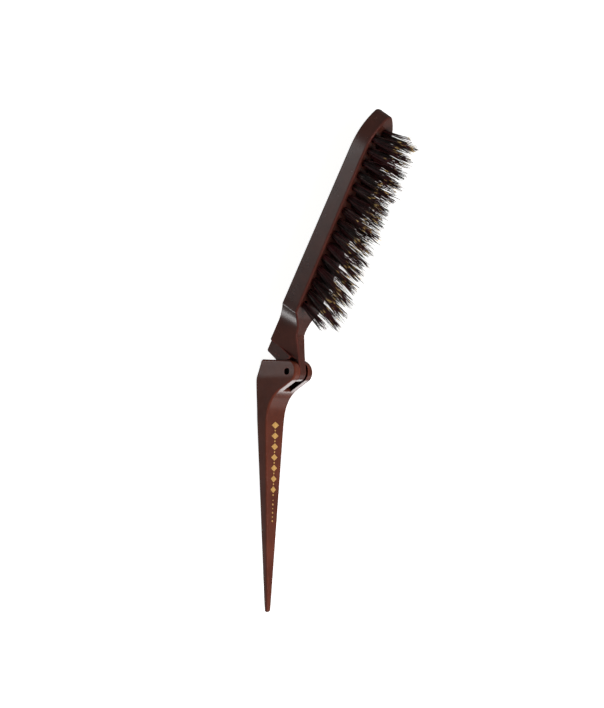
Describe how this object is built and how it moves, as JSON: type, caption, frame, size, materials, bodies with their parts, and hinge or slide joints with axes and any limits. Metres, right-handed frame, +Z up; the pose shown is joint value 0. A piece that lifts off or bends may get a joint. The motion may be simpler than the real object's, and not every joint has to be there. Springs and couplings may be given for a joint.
{
  "type": "folding dressing-out hairbrush",
  "caption": "Folding dressing-out hairbrush: slim paddle head with rows of bristle tufts, hinged on a pin between the ears of a tapering pin-tail handle.",
  "frame": {"origin": "centre of the bottom of the bounding box, with the brush lying on its side on the paddle's lower side face", "axes": "+Y along the handle towards the head, +X to the bristle side, +Z up along the hinge axis"},
  "size_m": [0.088, 0.2276, 0.0166],
  "materials": {
    "handle_plastic": "satin dark red-brown moulded plastic with a pearly sheen",
    "head_plastic": "satin dark brown moulded plastic",
    "pin_steel": "dark steel pin, recessed in its hole",
    "bristle": "black natural bristle mixed with amber nylon filament"
  },
  "bodies": {
    "handle": {"handle_body": "handle_plastic", "hinge_pin": "pin_steel"},
    "head": {"head_body": "head_plastic", "tuft_near_01": "bristle", "tuft_near_02": "bristle", "tuft_near_03": "bristle", "tuft_near_04": "bristle", "tuft_near_05": "bristle", "tuft_near_06": "bristle", "tuft_near_07": "bristle", "tuft_near_08": "bristle", "tuft_near_09": "bristle", "tuft_near_10": "bristle", "tuft_near_11": "bristle", "tuft_near_12": "bristle", "tuft_near_13": "bristle", "tuft_near_14": "bristle", "tuft_near_15": "bristle", "tuft_middle_01": "bristle", "tuft_middle_02": "bristle", "tuft_middle_03": "bristle", "tuft_middle_04": "bristle", "tuft_middle_05": "bristle", "tuft_middle_06": "bristle", "tuft_middle_07": "bristle", "tuft_middle_08": "bristle", "tuft_middle_09": "bristle", "tuft_middle_10": "bristle", "tuft_middle_11": "bristle", "tuft_middle_12": "bristle", "tuft_middle_13": "bristle", "tuft_middle_14": "bristle", "tuft_middle_15": "bristle", "tuft_far_01": "bristle", "tuft_far_02": "bristle", "tuft_far_03": "bristle", "tuft_far_04": "bristle", "tuft_far_05": "bristle", "tuft_far_06": "bristle", "tuft_far_07": "bristle", "tuft_far_08": "bristle", "tuft_far_09": "bristle", "tuft_far_10": "bristle", "tuft_far_11": "bristle", "tuft_far_12": "bristle", "tuft_far_13": "bristle", "tuft_far_14": "bristle", "tuft_far_15": "bristle"}
  },
  "joints": [
    {"name": "fold", "type": "hinge", "parent": "handle", "child": "head", "pos_m": [-0.02517, -0.00424, 0.0083], "axis": [0, 0, -1], "range_deg": [-30.25, 149]}
  ]
}
